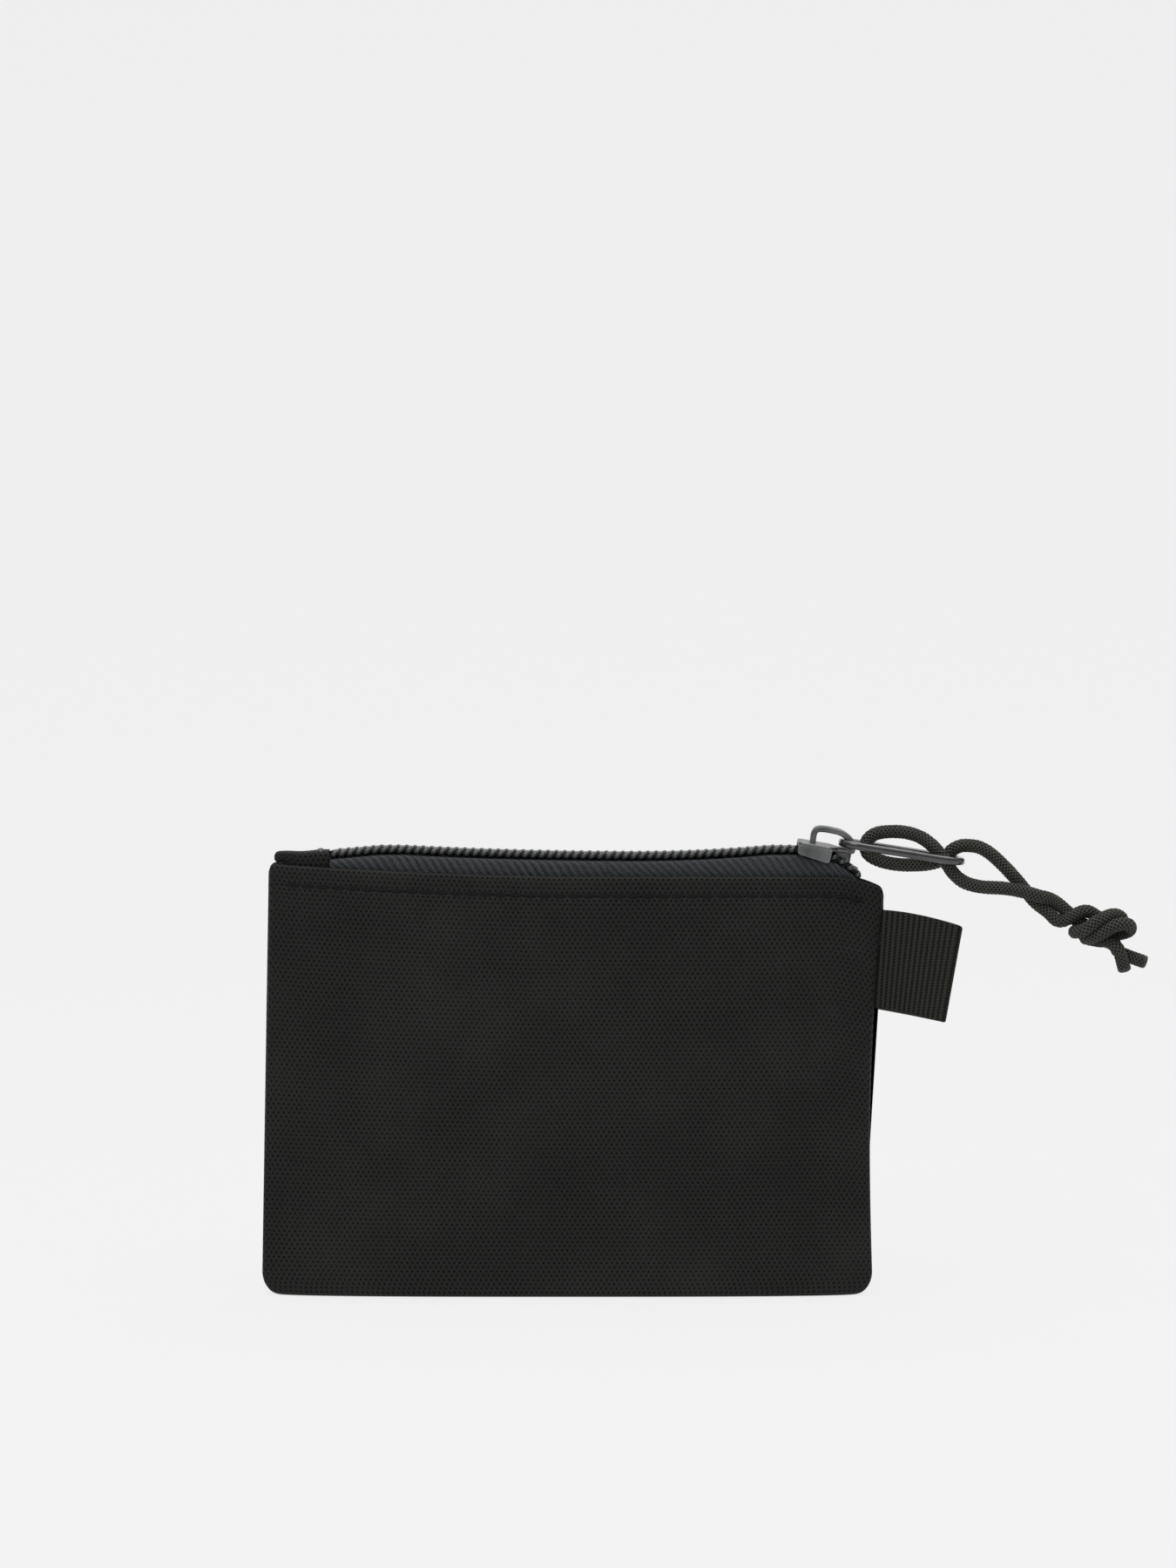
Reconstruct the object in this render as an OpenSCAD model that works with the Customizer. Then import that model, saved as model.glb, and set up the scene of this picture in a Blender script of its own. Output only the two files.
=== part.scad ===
// Small flat zippered pouch in heavy woven nylon: coil zip along the top, slider with an
// oval pull ring and a knotted cord, and a folded webbing tab in the right side seam.
// It stands on its bottom edge, front towards -Y, slider end towards +X. Millimetres.

/* [Pouch] */
// Width of the pouch at its bottom edge
pouch_w = 124.5; // [110:0.5:150]
// Height of the panels at the middle of the hem
hem_h = 85.9; // [80:0.1:100]
// Rise of the hem from the middle to the left end
hem_rise = 2.4; // [0:0.1:3]
// Outside depth at the bottom edge
base_depth = 11; // [7:0.1:13]
// Outside depth at the belly
belly_depth = 13; // [12:0.1:16]
// Outside depth at the hem
hem_depth = 10.6; // [10.2:0.1:12]
// Thickness of a panel with its coating and turned hem
panel_t = 1.2; // [1:0.05:1.4]
// Radius of the bottom corners
corner_r = 5; // [3:0.5:8]

/* [Zip] */
// Height of the top of the zip tape under the coils, at the slider
shelf_z = 90.05; // [89.5:0.05:91]
// How far the zip sags between its ends
zip_sag = 1.25; // [0:0.05:1.5]
// Thickness of the zip tape
tape_t = 0.5; // [0.4:0.05:0.6]
// Width of one coil
coil_w = 3; // [2.8:0.1:3.1]
// Height of the coils
coil_t = 1.9; // [1.6:0.1:2]
// Left end of the coils
chain_start = -48.2; // [-50:0.1:-44]
// Left end of the slider when the zip is shut
slider_x = 46.6; // [44:0.1:47]
// Angle at which the slider's nose dips
slider_tilt = 10; // [0:0.5:10]

/* [Pull] */
// Length of the pull ring over its ends
ring_l = 26; // [24:0.5:30]
// Width of the pull ring
ring_w = 9; // [8.6:0.1:10]
// Thickness of the ring's wire
ring_d = 1.6; // [1.4:0.1:1.8]
// Angle at which the ring hangs below level
ring_tilt = 8.9; // [7:0.1:12]
// Diameter of the cord
cord_d = 2.7; // [2.4:0.1:3]

/* [Tab] */
// Width of the webbing
web_w = 20; // [15:1:25]
// Thickness of one layer of webbing
web_t = 1.15; // [1:0.05:1.3]

/* [Hidden] */
$fn = 32;

canvas = "#232422";
tape = "#35383a";
thread = "#2a2b2a";
metal = "#4a4b4c";

// ---- the pouch's outside form ----
// The left side leans in, the right side has a slight waist and a flare at the top.
side_lean = 1.6;
side_waist = 0.8;
top_flare = 1.7;
seam_depth = 1.3;
base_turn = 0.82;
belly_v = 0.45;
end_drop = 2.2;
end_drop_x = 52;

function turned(z) = z < corner_r ? corner_r - sqrt(pow(corner_r, 2) - pow(corner_r - z, 2)) : 0;
function left_w(z) = pouch_w / 2 - side_lean * z / hem_h - 0.8 * turned(z);
function right_w(z) = pouch_w / 2 - side_waist * sin(180 * z / 76)
    + top_flare * pow(z / 80, 3) - 0.8 * turned(z);
function hem_z(x) = hem_h + hem_rise * pow(max(0, -x) / 60, 1.5)
    - end_drop * pow(max(0, x - end_drop_x) / 11, 2);
// Half depth up the middle of the pouch: a parabola through base, belly and hem.
bow_a = (belly_depth - base_depth - (hem_depth - base_depth) * pow(belly_v, 2))
    / (2 * (belly_v - pow(belly_v, 2)));
bow_b = (hem_depth - base_depth) / 2 - bow_a;
function middle_depth(v) = base_depth / 2 + bow_a * v + bow_b * v * v;
function fullness(s, v) = sqrt(1 - pow(min(abs(s), 1), 3 + 7 * pow(v, 3)));
function depth(s, v) = seam_depth + (middle_depth(v) - seam_depth) * fullness(s, v);
function share(x, z) = x / (x < 0 ? left_w(z) : right_w(z));
function depth_at(x, z) = depth(share(x, z), z / hem_z(x));
// The panels' inside face, drawn in at the sides by the seam allowances.
side_in = 0.974;
function inner_at(x, z) = max(depth_at(x / side_in, z) - panel_t, 0.3);

// ---- solids from rings of points ----
module skin(rings) {
    n = len(rings[0]);
    m = len(rings);
    polyhedron(
        points = [for (r = rings) each r],
        faces = [
            [for (i = [n - 1:-1:0]) i],
            [for (i = [0:n - 1]) (m - 1) * n + i],
            for (j = [0:m - 2], i = [0:n - 1])
                let (a = j * n + i, b = j * n + (i + 1) % n)
                    each [[a, b, b + n], [a, b + n, a + n]]
        ],
        convexity = 6
    );
}

// A round tube along a route. Each ring turns with the route, kept upright along Y.
function unit(v) = v / norm(v);
function heading(p, i) = unit(p[min(i + 1, len(p) - 1)] - p[max(i - 1, 0)]);
function tube_ring(at, along, r) =
    let (across = unit(cross([0, 1, 0], along)), up = cross(along, across))
        [for (a = [0:45:315]) at + r * (cos(a) * across + sin(a) * up)];
// Points of a smooth curve through the route's own points.
function bend(p, i, t) =
    let (n = len(p) - 1, a = p[max(i - 1, 0)], b = p[i], c = p[i + 1], d = p[min(i + 2, n)])
        0.5 * (2 * b + (c - a) * t + (2 * a - 5 * b + 4 * c - d) * t * t
            + (3 * b - a - 3 * c + d) * t * t * t);
function smooth(p, steps) = [
    for (i = [0:len(p) - 2], k = [0:steps - 1]) bend(p, i, k / steps), p[len(p) - 1]
];
module tube(route, r) {
    skin([for (i = [0:len(route) - 1]) tube_ring(route[i], heading(route, i), r)]);
}

// ---- panels ----
columns = [[-1, 0], for (s = [-1, -0.985, -0.96, -0.92, -0.86, -0.75, -0.6, -0.4, -0.2]) [s, 1],
    for (s = [0, 0.2, 0.4, 0.6, 0.75, 0.86, 0.92, 0.96, 0.985, 1]) [s, 1], [1, 0]];
rows = [[0, 0], [0, base_turn], [0.01, 0.94],
    for (v = [0.03, 0.07, 0.14, 0.22, 0.32, 0.44, 0.56, 0.68, 0.78, 0.86, 0.93, 1]) [v, 1]];

function wall_point(c, r, inside) =
    let (
        guess = r[0] * hem_h,
        x0 = c[0] * (c[0] < 0 ? left_w(guess) : right_w(guess)),
        top = hem_z(x0),
        z = inside ? panel_t + r[0] * (top - panel_t) : r[0] * top,
        d = depth(c[0], r[0])
    )
    inside
        ? [x0 * side_in, -c[1] * r[1] * max(d - panel_t, 0.3), z]
        : [x0, -c[1] * r[1] * d, z];

module wall() {
    skin([for (c = columns) [
        for (r = rows) wall_point(c, r, false),
        for (i = [len(rows) - 1:-1:0]) wall_point(c, rows[i], true)
    ]]);
}

module front_panel() { color(canvas) wall(); }
module back_panel() { color(canvas) mirror([0, 1, 0]) wall(); }

// ---- hem topstitching ----
stitch_pitch = 3;
stitch_l = 2.3;
stitch_w = 0.4;
hem_margin = 4;
clear = 0.02;

module hem_stitches() {
    for (x = [-54:stitch_pitch:57]) {
        z = hem_z(x) - hem_margin;
        slope = depth_at(x + 1, z) - depth_at(x - 1, z);
        translate([x, -depth_at(x, z) - stitch_w / 2 - 0.12, z])
            rotate([0, 0, -atan(slope / 2)])
                cube([stitch_l, stitch_w - clear, stitch_w], center = true);
    }
}
module front_hem_stitching() { color(thread) hem_stitches(); }
module back_hem_stitching() { color(thread) mirror([0, 1, 0]) hem_stitches(); }

// ---- bindings over the seam allowances inside ----
bind_w = 7;
bind_t = 1.1;
bind_z0 = 8;
bind_z1 = 78;
gap = 0.35;

module side_binding(x0, x1) {
    rotate([90, 0, 0])
        linear_extrude(bind_t, center = true)
            polygon([[x0, bind_z0], [x0 + bind_w, bind_z0], [x1 + bind_w, bind_z1], [x1, bind_z1]]);
}
left_bind_0 = -left_w(bind_z0) * side_in + gap;
left_bind_1 = -left_w(bind_z1) * side_in + gap;
right_bind = right_w(38) * side_in - gap - bind_w;
bottom_bind_x = 50;
module left_seam_binding() { color(canvas) side_binding(left_bind_0, left_bind_1); }
module right_seam_binding() { color(canvas) side_binding(right_bind, right_bind); }
module bottom_seam_binding() {
    color(canvas)
        translate([-bottom_bind_x, -bind_t / 2, panel_t + clear])
            cube([2 * bottom_bind_x, bind_t, bind_w]);
}

seam_pitch = 5;
seam_stitch_l = 3.6;
module seam_stitch(at, size) {
    for (side = [-1, 1])
        translate([at[0], side * (bind_t / 2 + clear + size[1] / 2), at[1]])
            cube(size, center = true);
}
module left_seam_stitching() {
    color(thread)
        for (z = [bind_z0 + seam_pitch:seam_pitch:bind_z1 - 3]) {
            lean = (z - bind_z0) / (bind_z1 - bind_z0);
            seam_stitch([left_bind_0 + (left_bind_1 - left_bind_0) * lean + 3, z],
                [stitch_w, stitch_w / 2, seam_stitch_l]);
        }
}
module right_seam_stitching() {
    color(thread)
        for (z = [bind_z0 + seam_pitch:seam_pitch:bind_z1 - 3])
            seam_stitch([right_bind + bind_w - 3, z], [stitch_w, stitch_w / 2, seam_stitch_l]);
}
module bottom_seam_stitching() {
    color(thread)
        for (x = [-45:seam_pitch:45])
            seam_stitch([x, panel_t + 3], [seam_stitch_l, stitch_w / 2, stitch_w]);
}

// ---- zip tapes and coils ----
// Past the slider's flanges the coils part, turn down and run into the corner.
turn_x = 53.5;
part_x = 49;
coil_end = 58.6;
parting = 0.9;
dive = 2.9;
dive_run = 5.7;
function parted(x) = parting * min(1, max(0, x - part_x) / (turn_x - part_x));
sag_x = 14;
sag_left = 47;
sag_right = 27;
function sagged(x) = zip_sag * (1 - min(1, pow((x - sag_x) / (x < sag_x ? sag_left : sag_right), 2)))
    + 0.09 * max(0, -38 - x);
function dropped(x) = sagged(x) + tan(slider_tilt) * max(0, x - slider_x) + dive * pow(max(0, x - turn_x) / dive_run, 1.5);
chain_x = [chain_start, -47, for (x = [-42:6:42]) x, slider_x, 48, 50, 52, 53.5, 54.5, 55.5, 56.5, 57.5, coil_end];

// Each tape bends at the hem. Below the bend it is sewn to its panel and stays with it.
tape_foot_z = 77;
shoulder = 3.9;
function bend_z(x) = min(hem_z(x) - 1, shelf_z - dropped(x) - 1.6);
function tape_ring(x) =
    let (
        top = shelf_z - dropped(x),
        mid = inner_at(x, bend_z(x)) - gap,
        out = min(shoulder, mid + 0.25),
        edge = 0.25 + parted(x)
    )
    [
        [x, -mid, bend_z(x)], [x, -out, top - 0.7], [x, -out + 0.4, top], [x, -edge, top],
        [x, -edge, top - tape_t], [x, -out + 0.4 + tape_t / 2, top - tape_t],
        [x, -out + tape_t, top - 0.7 - tape_t / 2], [x, -mid + tape_t, bend_z(x)]
    ];
function seam_ring(x) =
    let (
        foot = inner_at(x, tape_foot_z) - gap,
        top = bend_z(x) - 2 * clear,
        mid = inner_at(x, top) - gap
    )
    [
        [x, -foot, tape_foot_z], [x, -mid, top], [x, -mid + tape_t, top], [x, -foot + tape_t, tape_foot_z]
    ];
module zip_tape() { skin([for (x = chain_x) tape_ring(x)]); }
module tape_seam() { skin([for (x = chain_x) seam_ring(x)]); }
module front_zip_tape() { color(tape) zip_tape(); }
module back_zip_tape() { color(tape) mirror([0, 1, 0]) zip_tape(); }
module front_tape_seam() { color(tape) tape_seam(); }
module back_tape_seam() { color(tape) mirror([0, 1, 0]) tape_seam(); }

core_y = 2.1;
core_r = 0.4;
core_hole = 0.5;
function coil_mid(x, y, z) = [x, -y - parted(x), shelf_z + clear + coil_t / 2 + z - dropped(x)];
function coil_ring(x, w, t, y) = [
    for (p = [[-1, -0.55], [-0.75, -1], [0.75, -1], [1, -0.55], [1, 0.55], [0.75, 1], [-0.75, 1], [-1, 0.55]])
        coil_mid(x, y, 0) + [0, -p[0] * w / 2, p[1] * t / 2]
];
module coil() {
    difference() {
        skin([for (x = chain_x) coil_ring(x, coil_w - 0.06, coil_t, coil_w / 2 + 0.03)]);
        skin([for (x = [chain_start - 1, each chain_x, coil_end + 1])
            coil_ring(x, 2 * core_hole, 2 * core_hole, core_y)]);
    }
}
module coil_core() {
    skin([for (x = chain_x) coil_ring(x, 2 * core_r, 2 * core_r, core_y)]);
}
module front_zip_coil() { color("#1e2022") coil(); }
module back_zip_coil() { color("#1e2022") mirror([0, 1, 0]) coil(); }
module front_coil_core() { color(thread) coil_core(); }
module back_coil_core() { color(thread) mirror([0, 1, 0]) coil_core(); }

// Folded fabric over the left ends of the tapes, closed by a bar across the chain.
tab_x0 = -57.5;
tab_half = 3.3;
tab_end_r = 1.3;
tab_z0 = 86;
tab_over_x = -59.4;
tab_over_r = 1.7;
tab_over_z = 88.45;
module zip_start_tab() {
    color(canvas) {
        hull() {
            translate([chain_start - 0.5, -tab_half, tab_z0])
                cube([0.4, 2 * tab_half, shelf_z + 0.85 - tab_z0]);
            translate([tab_x0 + tab_end_r, 0, tab_z0])
                cylinder(r = tab_end_r, h = shelf_z + 0.6 - tab_z0);
        }
        // the end that is folded out over the hem's corner
        hull() {
            translate([tab_x0 + 3, -tab_over_r, tab_over_z])
                cube([1, 2 * tab_over_r, shelf_z + 0.6 - tab_over_z]);
            translate([tab_over_x + tab_over_r, 0, tab_over_z])
                cylinder(r = tab_over_r, h = shelf_z + 0.4 - tab_over_z);
        }
    }
}
module zip_start_stop() {
    color("#1e2022")
        translate([chain_start - 2.2, 0, shelf_z + 0.92])
            rotate([90, 0, 0])
                linear_extrude(2 * coil_w, center = true)
                    polygon([[-0.9, 0], [1.5, 0], [1.3, 0.7], [-0.6, 0.7]]);
}
module zip_end_bartack() {
    color(thread)
        translate([58.5, 0, 81])
            cube([2, 2.4, 1], center = true);
}

// ---- slider ----
plate_t = 0.9;
plate_z = shelf_z + coil_t + 0.12;
plate_top = plate_z + plate_t;
flange_x = 7.4;
nose_x = 11.8;
plate_half = 4.9;
flange_t = 0.7;
flange_z = 88.95;
lower_z = 87.85;
lower_half = 2.6;
lower_top = 88.75;
dip_z = 92.5;

module plate_outline(half) {
    polygon([
        [0, -half + 0.7], [0.6, -half], [flange_x - 0.6, -half], [flange_x, -half + 0.5],
        [nose_x - 2.4, -1.5], [nose_x - 0.6, -1.35], [nose_x, -0.8],
        [nose_x, 0.8], [nose_x - 0.6, 1.35], [nose_x - 2.4, 1.5],
        [flange_x, half - 0.5], [flange_x - 0.6, half], [0.6, half], [0, half - 0.7]
    ]);
}
// Its nose dips with the coils, so the whole slider is turned about its open end.
module dipped() {
    translate([slider_x, 0, dip_z]) rotate([0, slider_tilt, 0]) translate([0, 0, -dip_z]) children();
}
module slider_body() {
    color(metal)
        dipped() {
            difference() {
                translate([0, 0, plate_z]) linear_extrude(plate_t) plate_outline(plate_half);
                // sockets for the bail's two feet
                translate([bail_x0, 0, plate_z - 1]) foot_socket(bail_t);
                translate([bail_x1, 0, plate_z - 1]) foot_socket(bail_t);
            }
            for (side = [-1, 1])
                translate([0.6, side * (plate_half - flange_t / 2) - flange_t / 2, flange_z])
                    cube([flange_x - 1.2, flange_t, plate_z - flange_z + 0.01]);
            translate([0, -lower_half, lower_z]) cube([flange_x + 0.4, 2 * lower_half, lower_top - lower_z]);
            // diamond between the parting coils
            translate([0, 0, lower_z])
                linear_extrude(plate_z - lower_z + 0.02)
                    polygon([[flange_x - 0.4, 0], [flange_x + 0.6, -0.7], [nose_x - 1.2, -0.8],
                        [nose_x - 0.4, 0], [nose_x - 1.2, 0.8], [flange_x + 0.6, 0.7]]);
        }
}

// The bail is a bent flat strap, staked at both feet. The ring hangs in it.
bail_t = 1;
bail_w = 3.1;
bail_x0 = 3;
bail_x1 = 10.75;
ring_x = 9.1;
ring_z = plate_top + ring_d / 2 + 0.25;
module foot_socket(t) { translate([-0.05, -bail_w / 2 - 0.05, 0]) cube([t + 0.1, bail_w + 0.1, 3]); }
module slider_bail() {
    h = 3.7;
    color(metal)
        dipped()
            rotate([90, 0, 0])
                linear_extrude(bail_w, center = true)
                    polygon([
                        [bail_x0, plate_top - 0.6], [bail_x0, plate_top + h - 1], [bail_x0 + 0.8, plate_top + h - 0.2],
                        [bail_x1 - 2.2, plate_top + h], [bail_x1 + 0.4, plate_top + 2.8],
                        [bail_x1 + bail_t, plate_top + 1.9], [bail_x1 + bail_t, plate_top - 0.6],
                        [bail_x1, plate_top - 0.6], [bail_x1, plate_top + 1.6], [bail_x1 - 2.4, plate_top + h - 1.1],
                        [bail_x0 + 1.1, plate_top + h - 1.2], [bail_x0 + bail_t, plate_top + h - 1.4],
                        [bail_x0 + bail_t, plate_top - 0.6]
                    ]);
}

// ---- pull ring: a rounded oblong of round wire, hung by its straight end ----
ring_run = ring_l - ring_d;
ring_span = ring_w - ring_d;
bend_r = 2.9;
module ring_side(length) { rotate([90, 0, 0]) cylinder(d = ring_d, h = length, center = true); }
module ring_flat() {
    for (x = [0, ring_run])
        translate([x, 0, 0]) ring_side(ring_span - 2 * bend_r);
    for (y = [-1, 1])
        translate([ring_run / 2, y * ring_span / 2, 0])
            rotate([0, 0, 90]) ring_side(ring_run - 2 * bend_r);
    for (q = [0:3])
        translate([q == 0 || q == 3 ? ring_run - bend_r : bend_r, (q < 2 ? 1 : -1) * (ring_span / 2 - bend_r), 0])
            rotate([0, 0, 90 * q])
                rotate_extrude(angle = 90) translate([bend_r, 0]) circle(d = ring_d);
}
module pull_ring() {
    color(metal)
        dipped()
            translate([ring_x, 0, ring_z])
                rotate([0, ring_tilt - slider_tilt, 0])
                    ring_flat();
}

// ---- cord: threaded down, up and down through the ring, both ends in one knot ----
// From the knot along the back strand to the ring's end.
back_strand = [
    [102, -0.3, 75], [100.2, -0.2, 76.4], [97.6, 0.2, 78.3], [95.2, 1, 80.1], [93.2, 1.6, 82.4],
    [91.2, 1.7, 84.8], [88.8, 1.6, 87.4], [86.1, 1.5, 89.9]
];
// Over the ring's end, down through it, up at the left, over and down through it again.
loop_route = [
    [83.9, 1.4, 91.2], [82.1, 1.3, 91.6], [80.1, 1.2, 91.6], [78.3, 1.2, 90.8], [77, 1.2, 89.4],
    [75.5, 1.1, 88.5], [73.6, 0.6, 88], [70.8, 0.2, 87.8], [67.2, 0, 87.9], [63.8, -0.2, 88.6],
    [61.4, -0.2, 89.8], [60.6, 0, 91.4], [61.1, 0.2, 93], [62.8, 0.2, 94.2], [65.7, 0.1, 94.6],
    [68.9, 0, 94.4], [71.7, -0.4, 93.5], [73.8, -1, 92.1], [75.5, -1.3, 90.3], [77, -1.4, 88.2],
    [78.4, -1.4, 86.2], [80.1, -1.4, 84.7], [82, -1.4, 83.9]
];
// Back to the knot, crossing over the back strand.
front_strand = [
    [84.6, -1.4, 83.4], [88.4, -1.5, 83.2], [92, -1.4, 82.6], [95.6, -1, 81.6],
    [99.2, 0.6, 80.2], [101.6, 1.2, 78.8], [102.8, 1.4, 77.8]
];
cord_steps = 2;
cord_route = smooth(concat(back_strand, loop_route, front_strand), cord_steps);
loop_first = cord_steps * len(back_strand);
loop_last = loop_first + cord_steps * (len(loop_route) - 1);
module cord_part(first, last) {
    skin([for (i = [first:last]) tube_ring(cord_route[i], heading(cord_route, i), cord_d / 2)]);
}
module cord_loop() { color(canvas) cord_part(loop_first, loop_last); }
module cord_strands() {
    color(canvas) {
        cord_part(0, loop_first);
        cord_part(loop_last, len(cord_route) - 1);
    }
}
knot_r = 3.7;
module cord_knot() {
    color(canvas)
        hull() {
            translate([106, 0, 75.5]) sphere(r = knot_r, $fn = 24);
            translate([111.3, 0, 74.2]) sphere(r = knot_r, $fn = 24);
        }
}
module cord_ends() {
    color(canvas) {
        tube([[111.8, -0.6, 69.9], [112.6, -0.8, 68], [113.3, -0.9, 65.9]], cord_d / 2);
        tube([[114.3, 0.6, 71.7], [116, 0.8, 69.5], [117.6, 0.9, 67.2]], cord_d / 2);
    }
}

// ---- side tab: one strip of webbing folded double, its ends caught in the side seam ----
// It leans with the seam and sags outwards, its fold ending lower than its root.
tab_z = 58.65;
tab_root_x = 62.5;
tab_run = 13.9;
tab_sag = 2.95;
root_lean = 3.75;
fold_lean = 9.8;
pivot_x = 65.8;
pivot_z = 59;
pivot_h = 19;
function tab_ring(t) =
    let (
        low = [tab_root_x + tab_run * t, tab_z - tab_sag * pow(t, 1.6)],
        lean = root_lean + (fold_lean - root_lean) * t,
        high = low + web_w * [sin(lean), cos(lean)],
        half = t > 0.96 ? web_t * 0.75 : web_t
    )
    [[low[0], -half, low[1]], [high[0], -half, high[1]], [high[0], half, high[1]], [low[0], half, low[1]]];
module side_tab() {
    color(canvas) {
        intersection() {
            skin([for (t = [0, 0.15, 0.3, 0.45, 0.6, 0.75, 0.9, 0.96, 1]) tab_ring(t)]);
            translate([pivot_x, -10, 0]) cube([40, 20, 120]);
        }
        translate([pivot_x, 0, pivot_z]) cylinder(r = web_t, h = pivot_h);
    }
}
module side_tab_root() {
    x1 = pivot_x - web_t - 0.05;
    color(canvas)
        rotate([90, 0, 0])
            linear_extrude(2 * web_t, center = true)
                polygon([
                    for (z = [pivot_z:4:pivot_z + web_w]) [right_w(z * hem_h / hem_z(64)) + 0.1, z],
                    [x1, pivot_z + pivot_h], [x1, pivot_z]
                ]);
}
module side_tab_stitching() {
    color(thread)
        for (z = [pivot_z + 2:3:pivot_z + web_w - 1])
            translate([right_bind + bind_w - 5, bind_t / 2 + clear + stitch_w / 4, z])
                cube([1.6, stitch_w / 2, stitch_w], center = true);
}

front_panel();
back_panel();
front_hem_stitching();
back_hem_stitching();
left_seam_binding();
right_seam_binding();
bottom_seam_binding();
left_seam_stitching();
right_seam_stitching();
bottom_seam_stitching();
front_tape_seam();
back_tape_seam();
front_zip_tape();
back_zip_tape();
front_zip_coil();
back_zip_coil();
front_coil_core();
back_coil_core();
zip_start_tab();
zip_start_stop();
zip_end_bartack();
slider_body();
slider_bail();
pull_ring();
cord_loop();
cord_strands();
cord_knot();
cord_ends();
side_tab();
side_tab_root();
side_tab_stitching();
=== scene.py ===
"""A small zippered pouch in black woven nylon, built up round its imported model, on a pale studio floor."""
import math

import bmesh
import bpy
import numpy as np
from mathutils import Matrix, Vector


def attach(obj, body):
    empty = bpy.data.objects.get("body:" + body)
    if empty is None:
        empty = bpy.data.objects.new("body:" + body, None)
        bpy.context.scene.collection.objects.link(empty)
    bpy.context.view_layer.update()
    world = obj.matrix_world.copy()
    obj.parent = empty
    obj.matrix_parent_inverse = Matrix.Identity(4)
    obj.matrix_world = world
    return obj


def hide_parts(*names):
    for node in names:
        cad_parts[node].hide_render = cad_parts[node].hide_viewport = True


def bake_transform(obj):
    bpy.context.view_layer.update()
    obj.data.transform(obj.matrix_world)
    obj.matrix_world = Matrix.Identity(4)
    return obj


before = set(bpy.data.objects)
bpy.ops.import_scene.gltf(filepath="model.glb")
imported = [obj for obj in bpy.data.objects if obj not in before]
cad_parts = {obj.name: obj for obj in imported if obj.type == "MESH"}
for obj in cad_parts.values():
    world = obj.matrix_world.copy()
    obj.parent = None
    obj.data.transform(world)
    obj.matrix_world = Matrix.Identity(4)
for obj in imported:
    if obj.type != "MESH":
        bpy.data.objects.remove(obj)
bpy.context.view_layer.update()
mm = 0.001

# ---------------------------------------------------------------- camera and studio
# A long lens a little above the zip, in front of the pouch, and a seamless pale floor that
# curves up behind it. Soft light comes from one wide panel overhead, one in front and the room.
picture_width = 0.2387
camera_distance = 1.7
camera_rise = math.radians(4.5)
look_at = Vector((0.0042, 0.0, 0.1043))
camera_data = bpy.data.cameras.new("studio_camera")
camera_data.sensor_fit = "HORIZONTAL"
camera_data.sensor_width = 36
camera_data.lens = 36 * camera_distance / picture_width
camera_data.clip_end = 20
camera = bpy.data.objects.new("studio_camera", camera_data)
bpy.context.scene.collection.objects.link(camera)
camera.location = look_at + camera_distance * Vector((0, -math.cos(camera_rise), math.sin(camera_rise)))
camera.rotation_euler = (math.pi / 2 - camera_rise, 0, 0)
bpy.context.scene.camera = camera
bpy.context.scene.view_settings.view_transform = "Standard"


def node(tree, kind, label="", **values):
    """A shader node with its settings and its unlinked input values."""
    made = tree.nodes.new(kind)
    made.label = label
    for key, value in values.items():
        name = key.replace("_", " ")
        if name in made.inputs:
            made.inputs[name].default_value = value
        else:
            setattr(made, key, value)
    return made


def math_node(tree, operation, *inputs):
    """A Math node whose inputs are numbers or other nodes' outputs. Returns its output."""
    made = tree.nodes.new("ShaderNodeMath")
    made.operation = operation
    for socket, value in zip(made.inputs, inputs):
        if isinstance(value, bpy.types.NodeSocket):
            tree.links.new(value, socket)
        else:
            socket.default_value = value
    return made.outputs[0]


def finish_material(name):
    """A new material, its node tree and its Principled BSDF."""
    material = bpy.data.materials.new(name)
    material.use_nodes = True
    return material, material.node_tree, material.node_tree.nodes["Principled BSDF"]


backdrop_profile = [(-2.5, 0.0), (1.2, 0.0)]
backdrop_profile += [(1.2 + 0.8 * math.sin(a), 0.8 - 0.8 * math.cos(a)) for a in np.radians(range(9, 91, 9))]
backdrop_profile += [(2.0, 3.0)]
far_edge = len(backdrop_profile)
backdrop_mesh = bpy.data.meshes.new("studio_floor")
backdrop_mesh.from_pydata(
    [(x, y, z) for x in (-3, 3) for y, z in backdrop_profile],
    [],
    [(i, i + far_edge, i + far_edge + 1, i + 1) for i in range(far_edge - 1)],
)
backdrop_mesh.polygons.foreach_set("use_smooth", [True] * len(backdrop_mesh.polygons))
floor_paint, tree, paint = finish_material("pale_floor")
paint.inputs["Base Color"].default_value = (0.08, 0.08, 0.08, 1)
paint.inputs["Roughness"].default_value = 1.0
paint.inputs["Specular IOR Level"].default_value = 0.0
paint.inputs["Emission Color"].default_value = (1, 1, 1, 1)
paint.inputs["Emission Strength"].default_value = 0.79
backdrop_mesh.materials.append(floor_paint)
backdrop = bpy.data.objects.new("studio_floor", backdrop_mesh)
bpy.context.scene.collection.objects.link(backdrop)

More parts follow.
